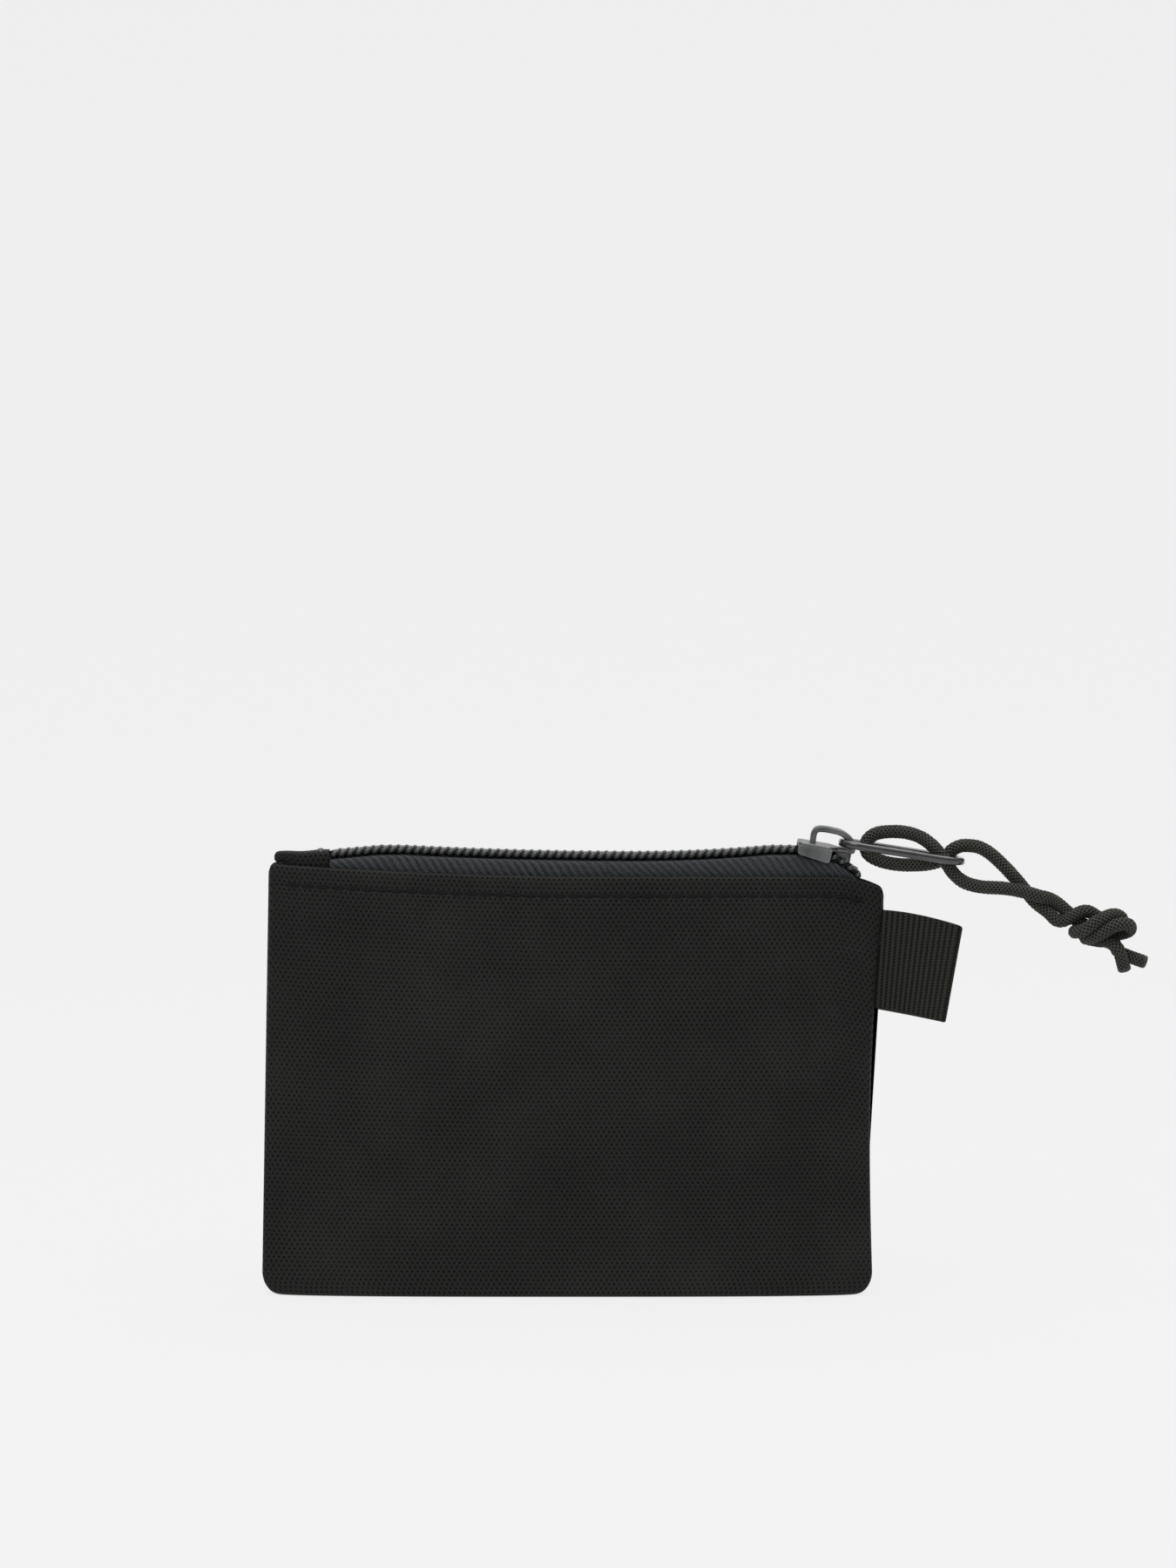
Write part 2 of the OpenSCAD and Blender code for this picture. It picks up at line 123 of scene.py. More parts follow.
room = bpy.data.worlds.new("studio_room")
room.use_nodes = True
sky = room.node_tree.nodes.new("ShaderNodeTexCoord")
rise = room.node_tree.nodes.new("ShaderNodeSeparateXYZ")
room.node_tree.links.new(sky.outputs["Generated"], rise.inputs[0])
ceiling = room.node_tree.nodes.new("ShaderNodeMapRange")
ceiling.inputs["From Min"].default_value = 0.0
ceiling.inputs["From Max"].default_value = 0.8
ceiling.inputs["To Min"].default_value = 0.16
ceiling.inputs["To Max"].default_value = 1.0
room.node_tree.links.new(rise.outputs["Z"], ceiling.inputs["Value"])
room.node_tree.links.new(ceiling.outputs["Result"], room.node_tree.nodes["Background"].inputs[1])
room.node_tree.nodes["Background"].inputs[0].default_value = (0.86, 0.86, 0.86, 1)
bpy.context.scene.world = room


def soft_light(name, place, aim, size, power):
    lamp = bpy.data.lights.new(name, "AREA")
    lamp.shape = "RECTANGLE"
    lamp.size, lamp.size_y = size
    lamp.energy = power
    made = bpy.data.objects.new(name, lamp)
    bpy.context.scene.collection.objects.link(made)
    made.location = place
    made.rotation_euler = (Vector(aim) - Vector(place)).to_track_quat("-Z", "Y").to_euler()


soft_light("overhead_panel", (0.1, -0.15, 1.5), (0, 0, 0), (1.6, 1.2), 14)
soft_light("front_panel_light", (-0.5, -1.6, 1.1), (0, 0, 0.05), (1.2, 1.0), 7)

# ---------------------------------------------------------------- pull cord
# One light braided nylon cord, threaded down, up and down again through the ring. Both its
# ends are tied in one overhand knot and melted. It keeps the bends that it was stored with.
cord_d = 2.7 * mm
loop_route = [
    (83.9, 1.4, 91.2), (82.1, 1.3, 91.6), (80.1, 1.2, 91.6), (78.3, 1.2, 90.8), (77, 1.2, 89.4),
    (75.5, 1.1, 88.5), (73.6, 0.6, 88), (70.8, 0.2, 87.8), (67.2, 0, 87.9), (63.8, -0.2, 88.6),
    (61.4, -0.2, 89.8), (60.6, 0, 91.4), (61.1, 0.2, 93), (62.8, 0.2, 94.2), (65.7, 0.1, 94.6),
    (68.9, 0, 94.4), (71.7, -0.4, 93.5), (73.8, -1, 92.1), (75.5, -1.3, 90.3), (77, -1.4, 88.2),
    (78.4, -1.4, 86.2), (80.1, -1.4, 84.7), (82, -1.4, 83.9),
]
back_strand = [
    (86.1, 1.5, 89.9), (88.8, 1.6, 87.4), (91.2, 1.7, 84.8), (93.2, 1.6, 82.4),
    (95.2, 1, 80.1), (97.6, 0.2, 78.3), (100.2, -0.2, 76.4),
]
front_strand = [
    (84.6, -1.4, 83.4), (88.4, -1.5, 83.2), (92, -1.4, 82.6), (95.6, -1, 81.6), (99.2, 0.6, 80.2),
]
# The knot, along the cord (u), across it (v) and towards the front (w), from its middle.
knot_middle = np.array((108.6, 0.2, 75.2))
knot_turn = math.radians(-24)
knot_route = [
    (-4.6, 0.2, -0.7), (-1.2, 0.1, -1.7), (2.0, 0.3, -1.7), (4.3, 1.5, -0.7), (3.9, 2.9, 0.9),
    (1.8, 2.6, 2.2), (-0.4, 0.2, 2.7), (-2.1, -2.3, 1.9), (-3.3, -3.2, 0.1), (-2.3, -2.9, -1.7),
    (0.6, -2.2, -1.6), (3.1, -2.1, -0.2), (5.3, -3.1, 0.6),
]
strand_apart = 1.25
end_tips = [(113.2, -1.0, 66.6), (117.4, 1.0, 67.9)]


def smooth_route(points, step):
    """A smooth line through the points, resampled at an even step."""
    p = np.array(points, float)
    p = np.vstack([2 * p[0] - p[1], p, 2 * p[-1] - p[-2]])
    line = []
    for a, b, c, d in zip(p, p[1:], p[2:], p[3:]):
        for t in np.linspace(0, 1, 40, endpoint=False):
            line.append(0.5 * (2 * b + (c - a) * t + (2 * a - 5 * b + 4 * c - d) * t * t
                               + (3 * b - a - 3 * c + d) * t ** 3))
    line = np.array(line + [p[-2]])
    run = np.concatenate([[0], np.cumsum(np.linalg.norm(np.diff(line, axis=0), axis=1))])
    even = np.linspace(0, run[-1], int(run[-1] / step) + 1)
    return np.stack([np.interp(even, run, line[:, k]) for k in range(3)], 1)


def strand_in_knot(side):
    """The knot's route for one of the two strands, which lie side by side on the knot's skin."""
    p = np.array(knot_route, float)
    along = np.gradient(p, axis=0)
    out = p * (0, 1, 1)
    beside = np.cross(along, out)
    beside /= np.linalg.norm(beside, axis=1)[:, None]
    p = p + side * strand_apart * beside
    c, s = math.cos(knot_turn), math.sin(knot_turn)
    return [tuple(knot_middle + (u * c - v * s, -w, u * s + v * c)) for u, v, w in p]


def tube_rings(line, radius, sides):
    """Rings of points about a line, each turned as little as can be from the last, in metres."""
    ahead = np.gradient(line, axis=0)
    ahead /= np.linalg.norm(ahead, axis=1)[:, None]
    across = np.cross(ahead[0], (0, 1, 0))
    rings = []
    turn = np.linspace(0, 2 * math.pi, sides, endpoint=False)
    for i, (at, front) in enumerate(zip(line, ahead)):
        across = across - front * (across @ front)
        across /= np.linalg.norm(across)
        up = np.cross(front, across)
        r = radius(i, turn)
        rings.append(at + r[:, None] * (np.cos(turn)[:, None] * across + np.sin(turn)[:, None] * up))
    return np.array(rings)


def skinned(name, rings, wrap=True, caps=True, run=None, girth=None):
    """A mesh object from rings of points, with a UV map in metres along (run) and round (girth)."""
    m, n = rings.shape[:2]
    across = n if wrap else n - 1
    run = np.arange(m) * mm if run is None else run
    girth = np.arange(n + 1) * mm if girth is None else girth
    faces = []
    for i in range(m - 1):
        for j in range(across):
            faces.append((i * n + j, i * n + (j + 1) % n, (i + 1) * n + (j + 1) % n, (i + 1) * n + j))
    sides = len(faces)
    if caps:
        faces.append(tuple(range(n - 1, -1, -1)))
        faces.append(tuple((m - 1) * n + j for j in range(n)))
    mesh = bpy.data.meshes.new(name)
    mesh.from_pydata(rings.reshape(-1, 3).tolist(), [], faces)
    layer = mesh.uv_layers.new(name="cloth")
    uv = []
    for k in range(sides):
        i, j = divmod(k, across)
        uv += [(run[i], girth[j]), (run[i], girth[j + 1]), (run[i + 1], girth[j + 1]), (run[i + 1], girth[j])]
    uv += [(0, 0)] * (len(mesh.loops) - len(uv))
    layer.data.foreach_set("uv", np.array(uv, np.float32).ravel())
    mesh.polygons.foreach_set("use_smooth", [k < sides for k in range(len(mesh.polygons))])
    turned_out = bmesh.new()
    turned_out.from_mesh(mesh)
    bmesh.ops.recalc_face_normals(turned_out, faces=turned_out.faces)
    turned_out.to_mesh(mesh)
    turned_out.free()
    made = bpy.data.objects.new(name, mesh)
    bpy.context.scene.collection.objects.link(made)
    return made


knot_back, knot_front = strand_in_knot(1), strand_in_knot(-1)
cord_points = [end_tips[1]] + knot_back[::-1] + back_strand[::-1] + loop_route
cord_points += front_strand + knot_front + [end_tips[0]]
cord_line = smooth_route(cord_points, 0.27) * mm
braid_strands = 8
braid_pitch = 6.2 * mm
cord_sides = 32
cord_run = np.concatenate([[0], np.cumsum(np.linalg.norm(np.diff(cord_line, axis=0), axis=1))])


def braid_height(along, turn):
    """How proud the braid's yarns stand, from 0 to 1, where its two sets of helices cross."""
    twist = 2 * math.pi * along / braid_pitch
    right = braid_strands * (turn - twist) / 2
    left = braid_strands * (turn + twist) / 2
    over = 0.5 + 0.5 * np.sign(np.sin(right) * np.sin(left))
    return over * np.cos(right) ** 2 + (1 - over) * np.cos(left) ** 2


cord_rings = tube_rings(
    cord_line, lambda i, turn: cord_d / 2 + mm * (0.2 * braid_height(cord_run[i], turn) - 0.13), cord_sides
)
pull_cord = skinned("pull_cord", cord_rings, run=cord_run,
                    girth=np.linspace(0, math.pi * cord_d, cord_sides + 1))


def add_group(name, inputs, outputs):
    """An empty shader group with named sockets. Returns the group, its input and its output node."""
    group = bpy.data.node_groups.new(name, "ShaderNodeTree")
    for socket, kind, value in inputs:
        made = group.interface.new_socket(socket, in_out="INPUT", socket_type=kind)
        if value is not None:
            made.default_value = value
    for socket, kind in outputs:
        group.interface.new_socket(socket, in_out="OUTPUT", socket_type=kind)
    return group, group.nodes.new("NodeGroupInput"), group.nodes.new("NodeGroupOutput")


# Soft mottling: a slow change of shade over a few millimetres and a fine one yarn by yarn.
mottle, ins, outs = add_group(
    "mottling",
    [("Patch Scale", "NodeSocketFloat", 60.0), ("Grain Scale", "NodeSocketFloat", 1500.0)],
    [("Patches", "NodeSocketFloat"), ("Grain", "NodeSocketFloat")],
)
place = node(mottle, "ShaderNodeTexCoord")
for source, result, detail in (("Patch Scale", "Patches", 3.0), ("Grain Scale", "Grain", 2.0)):
    speckle = node(mottle, "ShaderNodeTexNoise", Detail=detail, Roughness=0.55)
    mottle.links.new(place.outputs["Object"], speckle.inputs["Vector"])
    mottle.links.new(ins.outputs[source], speckle.inputs["Scale"])
    mottle.links.new(speckle.outputs["Factor" if "Factor" in speckle.outputs else "Fac"], outs.inputs[result])


def place_group(tree, group, **values):
    made = tree.nodes.new("ShaderNodeGroup")
    made.node_tree = group
    for key, value in values.items():
        made.inputs[key.replace("_", " ")].default_value = value
    return made


def shade_ramp(tree, factor, low, high, start=0.0, end=1.0):
    """A colour that goes from low to high as the factor goes from start to end."""
    ramp = tree.nodes.new("ShaderNodeMapRange")
    ramp.inputs["From Min"].default_value = start
    ramp.inputs["From Max"].default_value = end
    tree.links.new(factor, ramp.inputs["Value"])
    mix = tree.nodes.new("ShaderNodeMix")
    mix.data_type = "RGBA"
    mix.inputs["A"].default_value = (*low, 1)
    mix.inputs["B"].default_value = (*high, 1)
    tree.links.new(ramp.outputs["Result"], mix.inputs["Factor"])
    return mix.outputs["Result"]


def bump_from(tree, height, depth):
    made = tree.nodes.new("ShaderNodeBump")
    made.inputs["Strength"].default_value = 1.0
    made.inputs["Distance"].default_value = depth
    tree.links.new(height, made.inputs["Height"])
    return made.outputs["Normal"]


def uv_axes(tree):
    """The cloth's own two directions, in metres."""
    place = tree.nodes.new("ShaderNodeUVMap")
    place.uv_map = "cloth"
    split = tree.nodes.new("ShaderNodeSeparateXYZ")
    tree.links.new(place.outputs["UV"], split.inputs[0])
    return split.outputs["X"], split.outputs["Y"]


cord_cloth, tree, shine = finish_material("braided_nylon")
along, around = uv_axes(tree)
turns = math_node(tree, "MULTIPLY", around, braid_strands / cord_d)
climb = math_node(tree, "MULTIPLY", along, braid_strands * math.pi / braid_pitch)
right_yarn = math_node(tree, "COSINE", math_node(tree, "SUBTRACT", turns, climb))
left_yarn = math_node(tree, "COSINE", math_node(tree, "ADD", turns, climb))
yarns = math_node(tree, "MAXIMUM", math_node(tree, "ABSOLUTE", right_yarn),
                  math_node(tree, "ABSOLUTE", left_yarn))
speckles = place_group(tree, mottle, Patch_Scale=300.0, Grain_Scale=5000.0)
yarn_height = math_node(tree, "ADD", yarns, math_node(tree, "MULTIPLY", speckles.outputs["Grain"], 0.5))
# Painted shade: the colour runs from near black in the gaps between the braid's yarns to lighter on their
# crowns.
tree.links.new(shade_ramp(tree, yarn_height, (0.0015, 0.0015, 0.0012), (0.088, 0.088, 0.073), 0.92, 1.42),
               shine.inputs["Base Color"])
tree.links.new(bump_from(tree, yarn_height, 0.5 * mm), shine.inputs["Normal"])
shine.inputs["Roughness"].default_value = 0.6
shine.inputs["Specular IOR Level"].default_value = 0.3
pull_cord.data.materials.append(cord_cloth)

# The melted ends: each a short blunt button of fused nylon a little wider than the cord.
melted, tree, shine = finish_material("melted_nylon")
speckles = place_group(tree, mottle, Patch_Scale=900.0, Grain_Scale=4000.0)
tree.links.new(shade_ramp(tree, speckles.outputs["Patches"], (0.008, 0.008, 0.008), (0.03, 0.03, 0.028)),
               shine.inputs["Base Color"])
tree.links.new(bump_from(tree, speckles.outputs["Patches"], 0.2 * mm), shine.inputs["Normal"])
shine.inputs["Roughness"].default_value = 0.4
for label, tip, before in (("a", cord_line[0], cord_line[6]), ("b", cord_line[-1], cord_line[-7])):
    outward = (tip - before) / np.linalg.norm(tip - before)
    steps = [(-0.5, 0.98), (-0.25, 1.03), (0.05, 1.04), (0.3, 0.93), (0.42, 0.7), (0.48, 0.3)]
    line = np.array([tip + outward * s * mm for s, _ in steps])
    lumps = np.array([1 + 0.05 * math.sin(2.3 * k) for k in range(16)])
    rings = tube_rings(line, lambda i, turn: steps[i][1] * cord_d / 2 * lumps, 16)
    button = skinned(f"cord_end_{label}", rings)
    button.data.materials.append(melted)
    button.modifiers.new("smooth", "SUBSURF").levels = 1
    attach(button, "cord_tail")

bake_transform(pull_cord)
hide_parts("cord_loop", "cord_strands", "cord_knot", "cord_ends")

# ---------------------------------------------------------------- front and back panels
# Heavy plain-woven nylon, thick yarns running level and finer ones upright. The two panels
# are sewn right sides together down the sides and along the bottom, and turned out.
pouch_w, hem_h, hem_rise = 124.5, 85.9, 2.4
base_depth, belly_depth, hem_depth = 11.0, 13.0, 10.6
belly_v, seam_depth, corner_r = 0.45, 1.3, 5.0
canvas_t = 1.2
hem_fold_t = 1.5
stitch_line = 4.0


def turned(z):
    return np.where(z < corner_r, corner_r - np.sqrt(np.maximum(corner_r ** 2 - (corner_r - z) ** 2, 0)), 0)


def left_edge(z):
    return pouch_w / 2 - 1.6 * z / hem_h - 0.8 * turned(z)


def right_edge(z):
    return pouch_w / 2 - 0.8 * np.sin(np.pi * z / 76) + 1.7 * (z / 80) ** 3 - 0.8 * turned(z)


def hem_line(x):
    return hem_h + hem_rise * (np.maximum(0, -x) / 60) ** 1.5 - 2.2 * (np.maximum(0, x - 52) / 11) ** 2


bow = (belly_depth - base_depth - (hem_depth - base_depth) * belly_v ** 2) / (2 * (belly_v - belly_v ** 2))
bow_back = (hem_depth - base_depth) / 2 - bow


def half_depth(s, v):
    """Half the pouch's depth at a share s of the way to a side and v of the way to the hem."""
    middle = base_depth / 2 + bow * v + bow_back * v * v
    full = np.sqrt(1 - np.minimum(np.abs(s), 1) ** (3 + 7 * v ** 3))
    return seam_depth + (middle - seam_depth) * full


def ripple(x, z, seed):
    """The cloth's slow unevenness, in millimetres."""
    rng = np.random.default_rng(seed)
    total = np.zeros_like(x)
    for wave in (16, 23, 34, 52):
        for _ in range(4):
            a, b = rng.uniform(0, 2 * np.pi, 2)
            total += wave / 52 * np.sin(2 * np.pi * (x * np.cos(a) + z * np.sin(a)) / wave + b)
    return total / 6


shares = np.linspace(-1, 1, 181)
shares = 0.5 * shares + 0.5 * np.sin(shares * math.pi / 2)
seam_turn = np.radians([0, 25, 50, 72])
columns = [(-1, math.sin(a), 1 - math.cos(a)) for a in seam_turn] + [(s, 1, 1) for s in shares]
columns += [(1, math.sin(a), 1 - math.cos(a)) for a in seam_turn[::-1]]
seam_groove = 0.3
base_roll = 1.0
side_in = 0.974


def edge_at(s, z):
    return float(left_edge(z) if s < 0 else right_edge(z))


def outer_point(s, z):
    """A point of the pouch's outside: across, out and up."""
    x = s * edge_at(s, z)
    d = float(half_depth(s, z / hem_line(x)))
    if z < base_roll:
        d -= base_roll - math.sqrt(base_roll ** 2 - (base_roll - z) ** 2)
    return x, d


def panel_section(s, k, inset):
    """One upright line of a panel, from under the base up its outside, over the hem and down inside."""
    top = float(hem_line(s * edge_at(s, 85)))
    from_side = (1 - abs(s)) * edge_at(s, 85)
    soft_corner = 1.7 if s < 0 else 1.1
    top -= soft_corner - math.sqrt(soft_corner ** 2 - max(0, soft_corner - from_side) ** 2)
    fold = hem_fold_t / 2
    path = []
    x, d = outer_point(s, 0)
    path += [(x, d * share, 0) for share in (0, 0.4, 0.8)]
    for z in corner_r * (1 - np.cos(np.radians(np.arange(0, 90, 6.5)))):
        path.append((*outer_point(s, z), z))
    for z in np.concatenate([np.linspace(corner_r, top - 8, 72), np.linspace(top - 7.6, top - 1, 26)]):
        x, d = outer_point(s, z)
        below = top - z
        hem_swell = 0.2 * math.exp(-((below - 1.8) / 1.2) ** 2)
        stitch_dent = 0.22 * math.exp(-((below - stitch_line) / 0.4) ** 2)
        d += hem_swell - stitch_dent
        path.append((x, d, z))
    x, d = outer_point(s, top - 0.4)
    d += 0.12
    for a in np.radians([0, 25, 50, 75, 100, 125, 150, 175]):
        path.append((x, d - fold + fold * math.cos(a), top - fold + fold * math.sin(a)))
    path += [(x, d - hem_fold_t, top - drop) for drop in (3, 8, 11.5)]
    for z in np.linspace(top - 12.5, 3, 28):
        x = s * side_in * edge_at(s, z)
        path.append((x, max(outer_point(s, z)[1] - canvas_t, 0.3), z))
    path += [(path[-1][0], path[-1][1] * share, canvas_t) for share in (1, 0.5, 0)]
    sign = -1 if s < 0 else 1
    return [(x - sign * seam_groove * (1 - inset), d * k, z) for x, d, z in path]


def panel_mesh(name, front, seed):
    """One panel as a closed shell with the cloth's slow ripples."""
    rings = np.array([panel_section(*column) for column in columns])
    x, y, z = rings[..., 0], rings[..., 1], rings[..., 2]
    side_fade = np.clip((1 - np.abs(np.array([c[0] for c in columns]))) / 0.1, 0, 1)[:, None]
    level_fade = np.clip(z / 14, 0, 1) * np.clip((88 - z) / 12, 0.15, 1)
    rings[..., 1] += 0.3 * ripple(x, z, seed) * side_fade * level_fade * (y > 0.01)
    rings[..., 1] *= -front
    climb = np.concatenate([[0], np.cumsum(np.linalg.norm(np.diff(rings[len(rings) // 2], axis=0), axis=1))])
    return skinned(name, rings * mm, run=rings[:, 40, 0] * mm, girth=np.append(climb, climb[-1] + 1) * mm)


# Plain weave: level yarns of one pitch over and under upright yarns of another.
plain_weave, ins, outs = add_group(
    "plain_weave",
    [("Level Pitch", "NodeSocketFloat", 0.87 * mm), ("Upright Pitch", "NodeSocketFloat", 0.53 * mm),
     ("Unevenness", "NodeSocketFloat", 0.1 * mm), ("Along", "NodeSocketFloat", 0.0),
     ("Up", "NodeSocketFloat", 0.0)],
    [("Height", "NodeSocketFloat")],
)
place = node(plain_weave, "ShaderNodeTexCoord")
wander = node(plain_weave, "ShaderNodeTexNoise", Scale=260.0, Detail=2.0)
plain_weave.links.new(place.outputs["Object"], wander.inputs["Vector"])
drift = math_node(plain_weave, "MULTIPLY", math_node(plain_weave, "SUBTRACT", wander.outputs[0], 0.5),
                  ins.outputs["Unevenness"])
waves = []
for direction, pitch in (("Along", "Upright Pitch"), ("Up", "Level Pitch")):
    shifted = math_node(plain_weave, "ADD", ins.outputs[direction], drift)
    turns = math_node(plain_weave, "DIVIDE", math_node(plain_weave, "MULTIPLY", shifted, math.pi),
                      ins.outputs[pitch])
    waves.append(turns)
level_rows = math_node(plain_weave, "COSINE", waves[1])
narrow_rows = math_node(plain_weave, "MULTIPLY", level_rows, math_node(plain_weave, "ABSOLUTE", level_rows))
checks = math_node(plain_weave, "MULTIPLY", math_node(plain_weave, "COSINE", waves[0]), narrow_rows)
floats = node(plain_weave, "ShaderNodeMapRange", interpolation_type="SMOOTHSTEP")
floats.inputs["From Min"].default_value = -0.9
floats.inputs["From Max"].default_value = -0.3
plain_weave.links.new(checks, floats.inputs["Value"])
crowns = math_node(plain_weave, "MULTIPLY_ADD", checks, 0.5, 0.5)
height = math_node(plain_weave, "MULTIPLY_ADD", floats.outputs["Result"], 0.75,
                   math_node(plain_weave, "MULTIPLY", crowns, 0.25))
plain_weave.links.new(height, outs.inputs["Height"])


def canvas_finish(name, low, high, level=0.87 * mm, upright=0.53 * mm, swap=False):
    """Coated woven nylon: painted shade, near black, in its gaps; a little shine on its yarns."""
    material, tree, shine = finish_material(name)
    along, up = uv_axes(tree)
    cloth = place_group(tree, plain_weave, Level_Pitch=level, Upright_Pitch=upright, Unevenness=0.35 * mm)
    tree.links.new(up if swap else along, cloth.inputs["Along"])
    tree.links.new(along if swap else up, cloth.inputs["Up"])
    speckles = place_group(tree, mottle, Patch_Scale=55.0, Grain_Scale=1700.0)
    uneven = math_node(tree, "MULTIPLY_ADD", speckles.outputs["Patches"], 0.9,
                       math_node(tree, "MULTIPLY", speckles.outputs["Grain"], 0.5))
    lit = math_node(tree, "ADD", cloth.outputs["Height"], math_node(tree, "SUBTRACT", uneven, 0.7))
    # Painted shade: the colour runs from near black in the gaps between the yarns to lighter on their tops.
    tree.links.new(shade_ramp(tree, lit, low, high, 0.05, 1.25), shine.inputs["Base Color"])
    tree.links.new(bump_from(tree, cloth.outputs["Height"], 0.22 * mm), shine.inputs["Normal"])
    rough = tree.nodes.new("ShaderNodeMapRange")
    rough.inputs["To Min"].default_value = 0.85
    rough.inputs["To Max"].default_value = 0.6
    tree.links.new(cloth.outputs["Height"], rough.inputs["Value"])
    tree.links.new(rough.outputs["Result"], shine.inputs["Roughness"])
    shine.inputs["Specular IOR Level"].default_value = 0.1
    return material


canvas = canvas_finish("woven_nylon", (0.0005, 0.0005, 0.0005), (0.0215, 0.0225, 0.0205))
for side, front, seed in (("front", 1, 5), ("back", -1, 9)):
    panel = panel_mesh(f"{side}_cloth_panel", front, seed)
    panel.data.materials.append(canvas)
    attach(panel, "pouch")
    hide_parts(f"{side}_panel")

# ---------------------------------------------------------------- hem stitching
# A row of lockstitches in bonded thread, four millimetres below each panel's fold. Each
# stitch dives into the cloth at both ends.
stitch_pitch = 3.0
stitch_r = 0.2
thread_finish, tree, shine = finish_material("bonded_thread")
speckles = place_group(tree, mottle, Patch_Scale=500.0, Grain_Scale=6000.0)
tree.links.new(shade_ramp(tree, speckles.outputs["Grain"], (0.003, 0.003, 0.003), (0.014, 0.014, 0.014)),
               shine.inputs["Base Color"])
tree.links.new(bump_from(tree, speckles.outputs["Grain"], 0.05 * mm), shine.inputs["Normal"])
shine.inputs["Roughness"].default_value = 0.75
shine.inputs["Specular IOR Level"].default_value = 0.12


def joined(name, parts, material):
    """Several small meshes as one piece."""
    made = bmesh.new()
    for part in parts:
        made.from_mesh(part.data)
    bmesh.ops.recalc_face_normals(made, faces=made.faces)
    mesh = bpy.data.meshes.new(name)
    made.to_mesh(mesh)
    made.free()
    for part in parts:
        bpy.data.objects.remove(part)
    mesh.polygons.foreach_set("use_smooth", [True] * len(mesh.polygons))
    mesh.materials.append(material)
    whole = bpy.data.objects.new(name, mesh)
    bpy.context.scene.collection.objects.link(whole)
    return whole


def side_share(x, z):
    return x / (left_edge(z) if x < 0 else right_edge(z))


for side, front in (("front", -1), ("back", 1)):
    stitches = []
    for x in np.arange(-55.5, 59, stitch_pitch):
        line = []
        for t in np.linspace(-1.25, 1.25, 7):
            z = hem_line(x + t) - stitch_line + 0.05 * t
            d = half_depth(side_share(x + t, z), z / hem_line(x + t))
            line.append((x + t, front * (d + 0.02 - 0.34 * (abs(t) / 1.25) ** 3), z))
        rings = tube_rings(np.array(line) * mm, lambda i, turn: np.full(len(turn), stitch_r * mm), 8)
        stitches.append(skinned("stitch", rings))
    row = joined(f"{side}_hem_thread", stitches, thread_finish)
    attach(row, "pouch")
    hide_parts(f"{side}_hem_stitching")

# ---------------------------------------------------------------- zip tapes
# Herringbone-woven polyester tape. Each is sewn behind a hem and turns level under its coil.
# Behind the open slider each half of the zip swings out over its hem, its ends sewn down.
shelf_z = 90.05
zip_sag, sag_x, sag_left, sag_right = 1.25, 14.0, 47.0, 27.0
tape_t = 0.5
chain_start = -48.2
slider_x = 46.6
slider_tilt = math.radians(10)
part_x, turn_x, coil_end = 49.0, 53.5, 59.2
parting, dive = 0.9, 2.9
shoulder = 3.9


def parted(x):
    return parting * np.clip((x - part_x) / (turn_x - part_x), 0, 1)


def dropped(x):
    reach = np.where(x < sag_x, sag_left, sag_right)
    sagged = zip_sag * (1 - np.minimum(1, ((x - sag_x) / reach) ** 2)) + 0.09 * np.maximum(0, -38 - x)
    curve = dive * (np.maximum(0, x - turn_x) / 5.7) ** 1.5
    return sagged + math.tan(slider_tilt) * np.maximum(0, x - slider_x) + curve


tape_finish, tree, shine = finish_material("herringbone_tape")
along, up = uv_axes(tree)
zigzag = math_node(tree, "PINGPONG", up, 1.5 * mm)
ridges = math_node(tree, "SINE", math_node(tree, "MULTIPLY", math_node(tree, "ADD", zigzag, along),
                                           2 * math.pi / (0.55 * mm)))
# Painted sheen: soft diagonal stripes 1.69 mm apart, painted as lighter and darker bands in the colour and
# given a little relief in the bump.
sheen_stripes = math_node(tree, "SINE", math_node(tree, "MULTIPLY", math_node(tree, "ADD", along, up),
                                          2 * math.pi / (1.69 * mm)))
speckles = place_group(tree, mottle, Patch_Scale=90.0, Grain_Scale=2600.0)
twill_and_sheen = math_node(tree, "MULTIPLY_ADD", ridges, 0.22, speckles.outputs["Grain"])
twill_and_sheen = math_node(tree, "ADD", twill_and_sheen, math_node(tree, "MULTIPLY", sheen_stripes, math_node(
    tree, "MULTIPLY", speckles.outputs["Patches"], 0.55)))
# The colour holds painted shade between the herringbone ridges, the painted sheen stripes and the tape's own
# grain.
tree.links.new(shade_ramp(tree, twill_and_sheen, (0.005, 0.006, 0.007), (0.056, 0.064, 0.070), 0.0, 1.05),
               shine.inputs["Base Color"])
tree.links.new(bump_from(tree, twill_and_sheen, 0.2 * mm), shine.inputs["Normal"])
shine.inputs["Roughness"].default_value = 0.7
shine.inputs["Specular IOR Level"].default_value = 0.25


def inner_depth(x, z):
    return max(float(half_depth(side_share(x, z), min(z / hem_line(x), 1))) - hem_fold_t, 0.3)


